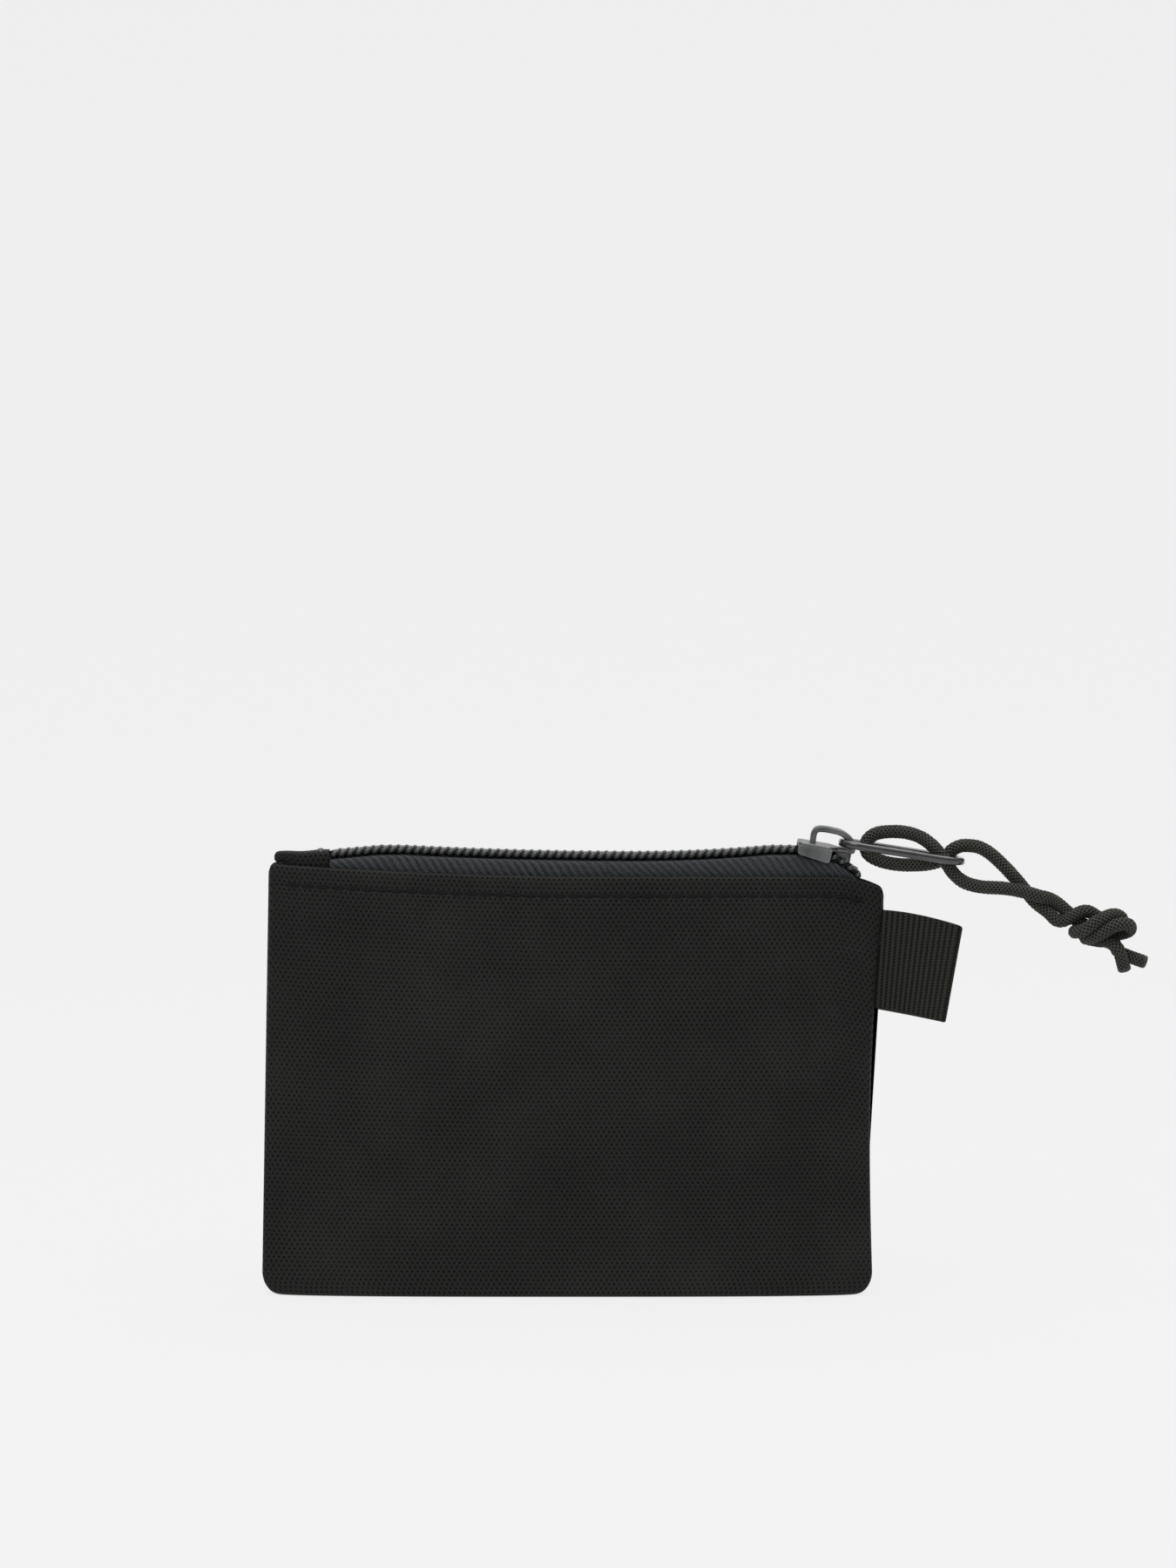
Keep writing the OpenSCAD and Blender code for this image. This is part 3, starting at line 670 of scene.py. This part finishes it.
def tape_section(x, front):
    """The tape's section at x, from its sewn foot up over the shoulder to its inner edge and back."""
    top = shelf_z - float(dropped(x))
    line_z = float(hem_line(x)) - 0.9
    seat = inner_depth(x, min(line_z, 85)) - 0.12
    out = min(shoulder, seat + 0.5)
    edge = 0.2 + float(parted(x))
    foot_z = float(hem_line(x)) - 2.2
    foot = [(seat, foot_z), (seat + 0.05, min(line_z, top - 1.6)),
            ((seat + out) / 2 + 0.15, (line_z + top) / 2 - 0.2),
            (out, top - 0.75), (out - 0.18, top - 0.25), (out - 0.6, top), (edge, top)]
    back = [(edge, top - tape_t), (out - 0.75, top - tape_t), (out - 0.55, top - 0.9),
            ((seat + out) / 2 - 0.35, (line_z + top) / 2 - 0.4), (seat - 0.45, min(line_z, top - 1.6) - 0.1),
            (seat - 0.45, foot_z)]
    return [(x, front * y, z) for y, z in foot + back]


def swing_open(piece, x_low, x_high):
    """Bakes one half-length of zip's placement into its mesh."""
    if x_high <= 8.5:
        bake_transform(piece)
    else:
        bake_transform(piece)


middle_x = 8.0
for side, front in (("front", -1), ("back", 1)):
    right_xs = np.concatenate([np.arange(middle_x, 48, 0.8), np.arange(48, coil_end + 0.01, 0.35)])
    for label, xs, last_x in (("left", np.arange(chain_start, middle_x + 0.01, 0.8), middle_x),
                              ("right", right_xs, coil_end)):
        xs = np.append(xs[xs < last_x], last_x)
        rings = np.array([tape_section(float(x), front) for x in xs]) * mm
        climb = np.concatenate([[0], np.cumsum(np.linalg.norm(np.diff(rings[3], axis=0), axis=1))])
        strip = skinned(f"{side}_tape_{label}", rings, run=xs * mm, girth=np.append(climb, climb[-1]))
        strip.data.materials.append(tape_finish)
        swing_open(strip, xs[0], xs[-1])
        if label == "left":
            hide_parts(f"{side}_zip_tape")

# ---------------------------------------------------------------- zip coils
# One thick nylon thread wound into a flattened helix along each tape and sewn down over a
# core cord. The turns of the two coils mesh half a pitch apart.
tooth_pitch = 1.69
wire_r = 0.5
coil_t = 1.9
coil_out = 2.95
coil_in = -0.42
core_out, core_r = 2.1, 0.4
coil_finish, tree, shine = finish_material("coil_nylon")
speckles = place_group(tree, mottle, Patch_Scale=400.0, Grain_Scale=3000.0)
tree.links.new(shade_ramp(tree, speckles.outputs["Patches"], (0.010, 0.011, 0.012), (0.026, 0.028, 0.030)),
               shine.inputs["Base Color"])
tree.links.new(bump_from(tree, speckles.outputs["Grain"], 0.03 * mm), shine.inputs["Normal"])
shine.inputs["Roughness"].default_value = 0.3
shine.inputs["Coat Weight"].default_value = 0.2


def coil_line(x_low, x_high, front):
    """The centreline of one coil's wire between two places along the zip."""
    shift = 0.5 if front > 0 else 0.0
    points = []
    first = math.floor((x_low - chain_start) / tooth_pitch)
    last = math.ceil((x_high - chain_start) / tooth_pitch)
    for step in range(int(first * 16), int(last * 16)):
        turn = 2 * math.pi * step / 16
        x = chain_start + tooth_pitch * (step / 16 + shift) + 0.8 * math.sin(turn)
        if not x_low - 0.4 <= x <= x_high + 0.4:
            continue
        y = (coil_out - wire_r + coil_in) / 2 - (coil_out - wire_r - coil_in) / 2 * math.cos(turn)
        z = shelf_z + coil_t / 2 + (coil_t / 2 - wire_r) * math.sin(turn)
        points.append((x, front * (y + float(parted(x))), z - float(dropped(x))))
    return np.array(points)


for side, front in (("front", -1), ("back", 1)):
    for label, x_low, x_high in (("left", chain_start, middle_x), ("right", middle_x, coil_end - 0.3)):
        line = coil_line(x_low, x_high, front) * mm
        rings = tube_rings(line, lambda i, turn: np.full(len(turn), wire_r * mm), 8)
        coil = skinned(f"{side}_coil_{label}", rings)
        coil.data.materials.append(coil_finish)
        swing_open(coil, x_low, x_high)
        if label == "left":
            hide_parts(f"{side}_zip_coil")
        core_x = np.linspace(x_low + 0.3, x_high - 0.1, 60)
        core_y = front * (core_out + parted(core_x))
        core_line = np.stack([core_x, core_y, shelf_z + coil_t / 2 - dropped(core_x)], 1)
        core_rings = tube_rings(core_line * mm, lambda i, turn: np.full(len(turn), core_r * mm), 8)
        core = skinned(f"{side}_core_{label}", core_rings)
        core.data.materials.append(thread_finish)
        swing_open(core, x_low, x_high)
        if label == "left":
            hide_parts(f"{side}_coil_core")

# ---------------------------------------------------------------- sewn margins
# Inside the pouch, the lower part of each tape, the bindings over the seam allowances and
# their stitches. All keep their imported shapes.
binding_finish = canvas_finish("binding_tape", (0.004, 0.004, 0.004), (0.034, 0.034, 0.034),
                               0.5 * mm, 0.4 * mm)
kept = {
    tape_finish: ["front_tape_seam", "back_tape_seam"],
    binding_finish: ["left_seam_binding", "right_seam_binding", "bottom_seam_binding"],
    thread_finish: ["left_seam_stitching", "right_seam_stitching", "bottom_seam_stitching",
                    "side_tab_stitching"],
}
for finish, names in kept.items():
    for name in names:
        kept_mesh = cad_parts[name].data
        kept_mesh.materials.clear()
        kept_mesh.materials.append(finish)

# ---------------------------------------------------------------- zip start tab
# The left ends of both tapes are folded into a scrap of the same canvas and stitched shut,
# with a bar of melted coil across the chain beside it.
tab_left, tab_right = -59.5, -48.3


def squared(value, power):
    """A cosine or sine flattened towards 1, which squares off a round section."""
    return math.copysign(abs(value) ** power, value)


start_sections = []
for t in np.linspace(0, 1, 40):
    x = tab_left + (tab_right - tab_left) * t
    half = 1.4 + 1.9 * min(t * 1.2, 1)
    close = math.sqrt(max(0, 1 - (1 - min(t / 0.08, 1)) ** 2))
    high = 90.5 + 0.35 * t - 0.7 * (1 - close) + 0.1 * math.sin(9 * t)
    low = 88.42 + 0.5 * (1 - close) - 2.4 * min(max((x + 57.4) / 2.5, 0), 1)
    half *= 0.35 + 0.65 * close
    ring = []
    for a in np.linspace(0, 2 * math.pi, 36, endpoint=False):
        c, s = math.cos(a), math.sin(a)
        y = half * squared(c, 0.45)
        z = (high + low) / 2 + (high - low) / 2 * squared(s, 0.3)
        fold = 0.16 * math.exp(-((z - 88.6) / 0.25) ** 2) if c < 0 else 0
        ring.append((x, y + fold, z))
    start_sections.append(ring)
start_sections = np.array(start_sections)
round_tab = np.append(start_sections[24], start_sections[24][:1], axis=0)
round_tab = np.concatenate([[0], np.cumsum(np.linalg.norm(np.diff(round_tab, axis=0), axis=1))])
start_tab = skinned("zip_start_fold", start_sections * mm, run=np.linspace(0, tab_right - tab_left, 40) * mm,
                    girth=round_tab * mm)
start_tab.data.materials.append(canvas)
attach(start_tab, "pouch")
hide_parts("zip_start_tab")

stop_x, stop_z, stop_r = -50.2, 90.85, 0.42


def stop_radius(i, turn):
    return np.full(len(turn), stop_r * mm * (1 - (abs(i - 14.5) / 15) ** 6))


stop_line = [(stop_x + 0.25 * math.sin(2.1 * y), y, stop_z - 0.05 * y * y)
             for y in np.linspace(-2.9, 2.9, 30)]
stop_rings = tube_rings(np.array(stop_line) * mm, stop_radius, 12)
start_stop = skinned("zip_start_bar", stop_rings)
start_stop.data.materials.append(coil_finish)
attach(start_stop, "pouch")
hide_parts("zip_start_stop")

# ---------------------------------------------------------------- zip end bartack
# A dense bar of thread across both tapes, inside the corner where the open end goes down.
bar_passes = []
for k in range(9):
    z = 80.6 + 0.1 * k
    line = [(57.5 + 2 * t, -1.1 if (k + i) % 2 else 1.1, z) for i, t in enumerate(np.linspace(0, 1, 7))]
    rings = tube_rings(np.array(line) * mm, lambda i, turn: np.full(len(turn), 0.14 * mm), 8)
    bar_passes.append(skinned("bar_pass", rings))
bartack = joined("zip_end_bar", bar_passes, thread_finish)
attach(bartack, "pouch")
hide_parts("zip_end_bartack")

# ---------------------------------------------------------------- slider
# A die-cast zinc slider with a dark gunmetal plating: a flanged plate over the coils, a small
# plate under them, and the post that parts them. Its nose dips a little with the coils.
plate_low, plate_high = 92.07, 92.97
under_low, under_high = 87.85, 88.75
flange_in, flange_out = 4.1, 4.85


def gunmetal(name, low, high, rough, scratches, coat=0.0):
    """Dark plated zinc: worn a little lighter in patches, with fine cloudy roughness."""
    material, tree, shine = finish_material(name)
    wear = place_group(tree, mottle, Patch_Scale=220.0, Grain_Scale=2600.0)
    tree.links.new(shade_ramp(tree, wear.outputs["Patches"], low, high, 0.3, 0.7), shine.inputs["Base Color"])
    cloudy = tree.nodes.new("ShaderNodeMapRange")
    cloudy.inputs["To Min"].default_value = rough
    cloudy.inputs["To Max"].default_value = rough + 0.16
    tree.links.new(wear.outputs["Grain"], cloudy.inputs["Value"])
    tree.links.new(cloudy.outputs["Result"], shine.inputs["Roughness"])
    tree.links.new(bump_from(tree, wear.outputs["Grain"], scratches * mm), shine.inputs["Normal"])
    shine.inputs["Metallic"].default_value = 0.85
    shine.inputs["Coat Weight"].default_value = coat
    shine.inputs["Coat Roughness"].default_value = 0.08
    return material


slider_finish = gunmetal("gunmetal_slider", (0.08, 0.082, 0.084), (0.17, 0.172, 0.175), 0.28, 0.012)


def prism(name, outline, low, high, bevel, finish):
    """A plate of the given outline with rounded edges, in millimetres."""
    made = bmesh.new()
    base = [made.verts.new((x * mm, y * mm, low * mm)) for x, y in outline]
    face = made.faces.new(base)
    top = bmesh.ops.extrude_face_region(made, geom=[face])["geom"]
    for vert in top:
        if isinstance(vert, bmesh.types.BMVert):
            vert.co.z = high * mm
    bmesh.ops.recalc_face_normals(made, faces=made.faces)
    edges = [e for e in made.edges if e.calc_face_angle(0) > 0.3]
    bmesh.ops.bevel(made, geom=edges, offset=bevel * mm, segments=3, profile=0.6, affect="EDGES")
    mesh = bpy.data.meshes.new(name)
    made.to_mesh(mesh)
    made.free()
    mesh.polygons.foreach_set("use_smooth", [True] * len(mesh.polygons))
    mesh.materials.append(finish)
    plate = bpy.data.objects.new(name, mesh)
    bpy.context.scene.collection.objects.link(plate)
    crisp = plate.modifiers.new("crisp", "WEIGHTED_NORMAL")
    crisp.keep_sharp = True
    return plate


def shield_outline(half, inset):
    """The top plate's outline: wide over the coils, narrowing to a rounded nose."""
    side = [(inset + 0.2, half - 0.9), (inset + 0.7, half - 0.2), (inset + 1.3, half)]
    side += [(6.7, half), (7.3, half - 0.6)]
    side += [(8.2, 2.6), (9.4, 1.65), (11.0, 1.4), (11.6, 1.0), (11.8, 0.4)]
    outline = [(x, -y) for x, y in side] + [(x, y) for x, y in side[::-1]]
    return [(slider_x + x, y) for x, y in outline]


top_plate = prism("slider_top_plate", shield_outline(4.85, 0), plate_low, plate_high, 0.28, slider_finish)
under_side = [(0.3, 2.1), (0.8, 2.6), (6.6, 2.6), (7.8, 1.4)]
under_outline = [(slider_x + x, -y) for x, y in under_side] + [(slider_x + x, y) for x, y in under_side[::-1]]
under_plate = prism("slider_under_plate", under_outline, under_low, under_high, 0.3, slider_finish)
post_outline = [(7, 0), (8, -0.7), (10.6, -0.8), (11.4, 0), (10.6, 0.8), (8, 0.7)]
post = prism("slider_post", [(slider_x + x, y) for x, y in post_outline], 88.5, 92.3, 0.15, slider_finish)
slider_pieces = [top_plate, under_plate, post]
for label, side in (("near", -1), ("far", 1)):
    outline = [(0.15, 92.4), (0.35, 90.8), (0.8, 90.4), (6.6, 89.6), (7.1, 89.9), (7.3, 92.4)]
    outline = [(slider_x + x, z) for x, z in outline]
    flange = prism(f"slider_{label}_flange", outline, flange_in, flange_out, 0.22, slider_finish)
    flange.data.transform(Matrix(((1, 0, 0, 0), (0, 0, side, 0), (0, 1, 0, 0), (0, 0, 0, 1))))
    if side == 1:
        flange.data.flip_normals()
    slider_pieces.append(flange)

# The slider, its bail and the ring's hinge all dip together about the slider's open end.
dip = Matrix.Rotation(slider_tilt, 4, "Y")
dip_about = Vector((slider_x * mm, 0, 92.5 * mm))
dipped = Matrix.Translation(dip_about) @ dip @ Matrix.Translation(-dip_about)
for piece in slider_pieces:
    piece.data.transform(dipped)
    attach(piece, "slider")
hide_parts("slider_body")

# ---------------------------------------------------------------- slider bail
# A strap of the same metal bent over the plate, with its feet staked in it. The pull ring
# hangs in its low end.
bail_route = [(49.9, 92.5), (49.75, 93.6), (49.75, 94.9), (50.2, 95.75), (51.3, 96.05), (53, 96.1),
              (54.9, 95.95), (56.4, 95.35), (57.5, 94.5), (57.95, 93.4), (57.9, 92.4)]
strap_w, strap_t = 3.1, 1.25
bail_line = smooth_route([(x, 0, z) for x, z in bail_route], 0.22)
strap_corner = [(squared(math.cos(a), 0.35), squared(math.sin(a), 0.45))
                for a in np.linspace(0, 2 * math.pi, 32, endpoint=False)]
bail_rings = []
for at, ahead in zip(bail_line, np.gradient(bail_line, axis=0)):
    ahead /= np.linalg.norm(ahead)
    out = np.cross(ahead, (0, 1, 0))
    bail_rings.append([at + strap_w / 2 * a * np.array((0, 1, 0)) + strap_t / 2 * b * out
                       for a, b in strap_corner])
bail = skinned("slider_strap", np.array(bail_rings) * mm)
bail.data.materials.append(slider_finish)
bail.data.transform(dipped)
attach(bail, "slider")
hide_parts("slider_bail")

# ---------------------------------------------------------------- pull ring
# A long oval ring of cast metal, flattened on its faces and polished, hung in the bail.
ring_hinge = np.array((55.83, 0, 92.42))
ring_tilt = math.radians(8.9)
ring_run, ring_span, bend_r, ring_d = 24.4, 7.4, 2.9, 1.6
ring_finish = gunmetal("polished_gunmetal", (0.034, 0.035, 0.034), (0.075, 0.077, 0.076), 0.12, 0.006, 0.8)
oval = []
bend_y = ring_span / 2 - bend_r
for cx, cy, first in ((ring_run - bend_r, bend_y, 0), (bend_r, bend_y, 90),
                      (bend_r, -bend_y, 180), (ring_run - bend_r, -bend_y, 270)):
    bend = np.radians(np.linspace(first, first + 90, 15))
    oval += [(cx + bend_r * math.cos(a), cy + bend_r * math.sin(a)) for a in bend]
oval = np.array([(x, y, 0) for x, y in oval])
closed = np.vstack([oval, oval[:1]])
lengths = np.concatenate([[0], np.cumsum(np.linalg.norm(np.diff(closed, axis=0), axis=1))])
even = np.linspace(0, lengths[-1], 181)[:-1]
oval = np.stack([np.interp(even, lengths, closed[:, k]) for k in range(3)], 1)
ring_section = [(squared(math.cos(a), 0.72), squared(math.sin(a), 0.72))
                for a in np.linspace(0, 2 * math.pi, 28, endpoint=False)]
ring_rings = []
for i, at in enumerate(oval):
    ahead = oval[(i + 1) % len(oval)] - oval[i - 1]
    out = np.cross(ahead / np.linalg.norm(ahead), (0, 0, 1))
    ring_rings.append([at + ring_d / 2 * (a * out + 0.97 * b * np.array((0, 0, 1))) for a, b in ring_section])
ring_rings.append(ring_rings[0])
ring_rings = np.array(ring_rings)
x, z = ring_rings[..., 0].copy(), ring_rings[..., 2].copy()
ring_rings[..., 0] = x * math.cos(ring_tilt) + z * math.sin(ring_tilt)
ring_rings[..., 2] = -x * math.sin(ring_tilt) + z * math.cos(ring_tilt)
pull_ring = skinned("oval_pull_ring", (ring_rings + ring_hinge) * mm, caps=False)
welded = bmesh.new()
welded.from_mesh(pull_ring.data)
bmesh.ops.remove_doubles(welded, verts=welded.verts, dist=0.01 * mm)
welded.to_mesh(pull_ring.data)
welded.free()
pull_ring.data.materials.append(ring_finish)
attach(pull_ring, "ring")
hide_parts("pull_ring")

# ---------------------------------------------------------------- side tab
# One length of ribbed nylon webbing folded double, both its ends caught in the side seam. Its
# ribs run across it, deep by the seam and pulled flat by the fold at its outer end.
web_w, web_t = 20.0, 1.15
tab_root_x, tab_run, tab_z, tab_sag = 62.5, 13.9, 58.65, 2.95
root_lean, fold_lean = 3.75, 9.8
rib_pitch = 1.1
fold_r = web_t * 0.52
tab_from = -0.1
web_long = 15.8 * (1 - tab_from)
along_tab = [(t * (web_long - fold_r), 1.0) for t in np.linspace(0, 1, 120)]
round_fold = [(web_long - fold_r + fold_r * math.sin(a), math.cos(a)) for a in np.linspace(0, math.pi, 14)]
layers = [(u, -fold_r * c) for u, c in along_tab + round_fold[1:-1]]
layers = np.array(layers + [(u, fold_r) for u, c in along_tab[::-1]])
ahead = np.gradient(layers, axis=0)
ahead /= np.linalg.norm(ahead, axis=1)[:, None]
outward = np.stack([ahead[:, 1], -ahead[:, 0]], 1)
walk = np.concatenate([[0], np.cumsum(np.linalg.norm(np.diff(layers, axis=0), axis=1))])
rib_depth = 0.09 * np.clip((web_long - layers[:, 0]) / 9, 0, 1)
edge_steps = np.array([0, 0.12, 0.35])
heights = np.concatenate([edge_steps, np.linspace(0.8, web_w - 0.8, 36), web_w - edge_steps[::-1]])
webbing_rows = []
for h in heights:
    edge = min(h, web_w - h)
    thick = web_t / 2 * math.sqrt(1 - (1 - min(edge / 0.45, 1)) ** 2) + 0.02
    rib = rib_depth * (np.abs(np.cos(np.pi * walk / rib_pitch)) - 0.5)
    ring = list(layers + outward * (thick + rib)[:, None]) + list((layers - outward * thick)[::-1])
    row = []
    for u, y in ring:
        t = tab_from + (1 - tab_from) * u / web_long
        lean = math.radians(root_lean + (fold_lean - root_lean) * t)
        low_z = tab_z - tab_sag * max(t, 0) ** 1.6
        row.append((tab_root_x + tab_run * t + h * math.sin(lean), y, low_z + h * math.cos(lean)))
    webbing_rows.append(row)
walk_round = np.concatenate([walk, walk[::-1], [0]]) * mm
webbing_finish, tree, shine = finish_material("ribbed_webbing")
up, along = uv_axes(tree)
rib_turn = math_node(tree, "MULTIPLY", along, math.pi / (rib_pitch * mm))
rib_wave = math_node(tree, "ABSOLUTE", math_node(tree, "COSINE", rib_turn))
step_up = math_node(tree, "MULTIPLY", up, math.pi / (0.62 * mm))
rib_number = math_node(tree, "FLOOR", math_node(tree, "DIVIDE", along, rib_pitch * mm))
shift = math_node(tree, "MULTIPLY", rib_number, math.pi / 2)
dots = math_node(tree, "ABSOLUTE", math_node(tree, "COSINE", math_node(tree, "ADD", step_up, shift)))
speckles = place_group(tree, mottle, Patch_Scale=150.0, Grain_Scale=2500.0)
yarn = math_node(tree, "MULTIPLY", rib_wave, math_node(tree, "MULTIPLY_ADD", dots, 0.85, 0.15))
lit = math_node(tree, "ADD", yarn, math_node(tree, "MULTIPLY_ADD", speckles.outputs["Grain"], 0.6, -0.3))
# Painted shade: the colour runs from near black in the grooves between the ribs and between their yarns to
# lighter on the rib crowns.
tree.links.new(shade_ramp(tree, lit, (0.0015, 0.0015, 0.0012), (0.040, 0.041, 0.034)),
               shine.inputs["Base Color"])
tree.links.new(bump_from(tree, yarn, 0.2 * mm), shine.inputs["Normal"])
shine.inputs["Roughness"].default_value = 0.7
shine.inputs["Specular IOR Level"].default_value = 0.12
side_tab = skinned("webbing_tab", np.array(webbing_rows) * mm, run=heights * mm, girth=walk_round)
side_tab.data.materials.append(webbing_finish)
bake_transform(side_tab)
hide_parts("side_tab", "side_tab_root")
